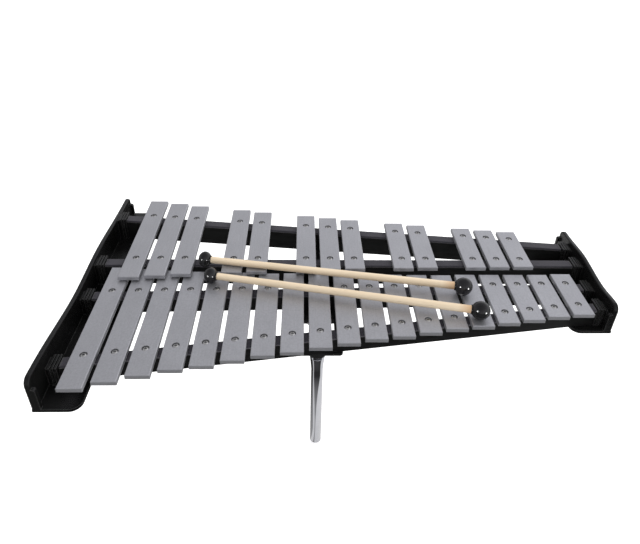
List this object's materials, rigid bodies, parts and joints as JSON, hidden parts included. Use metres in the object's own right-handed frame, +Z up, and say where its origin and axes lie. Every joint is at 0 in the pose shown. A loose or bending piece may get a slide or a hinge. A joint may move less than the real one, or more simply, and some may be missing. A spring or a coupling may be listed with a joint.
{
  "type": "xylophone",
  "caption": "Xylophone with staggered rows of tuned metal bars on a tapered rail frame, moulded end caps, a swivelling stand post and loose mallets.",
  "frame": {"origin": "centre of the open lower end of the stand post", "axes": "+Z up along the post; +X from the low notes to the high notes; +Y from the player to the far row; the player stands at -Y"},
  "size_m": [0.6254, 0.376, 0.2872],
  "materials": {
    "bar_metal": "fine brushed, matt silver",
    "painted_rail": "black paint",
    "felt": "pressed felt, dark grey-violet",
    "cap_plastic": "moulded, fine grain",
    "bright_screw": "bright zinc",
    "grommet_rubber": "matt black",
    "black_screw": "black oxide",
    "black_steel": "black powder coat",
    "black_casting": "black semi-gloss",
    "wing_screw": "bright",
    "chromed_steel": "polished chrome",
    "bright_steel": "turned steel",
    "birch": "pale birch, clear lacquer",
    "ball_plastic": "polished black"
  },
  "bodies": {
    "stand": {"stand_tube": "chromed_steel", "stand_spigot": "bright_steel"},
    "turning_ring": {"swivel_ring": "chromed_steel"},
    "clamp": {"clamp_wing_screw": "wing_screw"},
    "mallet_rear": {"mallet_rear_stick": "birch", "mallet_rear_head": "ball_plastic", "mallet_rear_tail": "ball_plastic"},
    "mallet_front": {"mallet_front_stick": "birch", "mallet_front_head": "ball_plastic", "mallet_front_tail": "ball_plastic"},
    "instrument": {"bar_01_f5": "bar_metal", "bar_02_f5_sharp": "bar_metal", "bar_03_g5": "bar_metal", "bar_04_g5_sharp": "bar_metal", "bar_05_a5": "bar_metal", "bar_06_a5_sharp": "bar_metal", "bar_07_b5": "bar_metal", "bar_08_c6": "bar_metal", "bar_09_c6_sharp": "bar_metal", "bar_10_d6": "bar_metal", "bar_11_d6_sharp": "bar_metal", "bar_12_e6": "bar_metal", "bar_13_f6": "bar_metal", "bar_14_f6_sharp": "bar_metal", "bar_15_g6": "bar_metal", "bar_16_g6_sharp": "bar_metal", "bar_17_a6": "bar_metal", "bar_18_a6_sharp": "bar_metal", "bar_19_b6": "bar_metal", "bar_20_c7": "bar_metal", "bar_21_c7_sharp": "bar_metal", "bar_22_d7": "bar_metal", "bar_23_d7_sharp": "bar_metal", "bar_24_e7": "bar_metal", "bar_25_f7": "bar_metal", "bar_26_f7_sharp": "bar_metal", "bar_27_g7": "bar_metal", "bar_28_g7_sharp": "bar_metal", "bar_29_a7": "bar_metal", "bar_30_a7_sharp": "bar_metal", "bar_31_b7": "bar_metal", "bar_32_c8": "bar_metal", "bar_grommets": "grommet_rubber", "bar_screws": "bright_screw", "brace_screws": "black_screw", "centre_brace": "black_steel", "end_cap_left": "cap_plastic", "end_cap_right": "cap_plastic", "felt_accidental_front": "felt", "felt_accidental_rear": "felt", "felt_natural_front": "felt", "felt_natural_rear": "felt", "rail_accidental_front": "painted_rail", "rail_accidental_rear": "painted_rail", "rail_end_screws": "black_screw", "rail_natural_front": "painted_rail", "rail_natural_rear": "painted_rail", "receiver_screws": "black_screw", "stand_receiver": "black_casting"}
  },
  "joints": [
    {"name": "swivel", "type": "hinge", "parent": "stand", "child": "turning_ring", "pos_m": [0, 0, 0.1625], "axis": [0, 0, 1], "continuous": true},
    {"name": "post_height", "type": "slide", "parent": "turning_ring", "child": "instrument", "axis": [0, 0, 1], "range_m": [0, 0.03]},
    {"name": "clamp_turn", "type": "hinge", "parent": "instrument", "child": "clamp", "pos_m": [0, 0.02, 0.192], "axis": [0, 1, 0], "range_deg": [0, 450]},
    {"name": "rear_mallet_lift", "type": "slide", "parent": "instrument", "child": "mallet_rear", "axis": [0, 0, 1], "range_m": [0, 0.06]},
    {"name": "front_mallet_lift", "type": "slide", "parent": "instrument", "child": "mallet_front", "axis": [0, 0, 1], "range_m": [0, 0.06]}
  ]
}
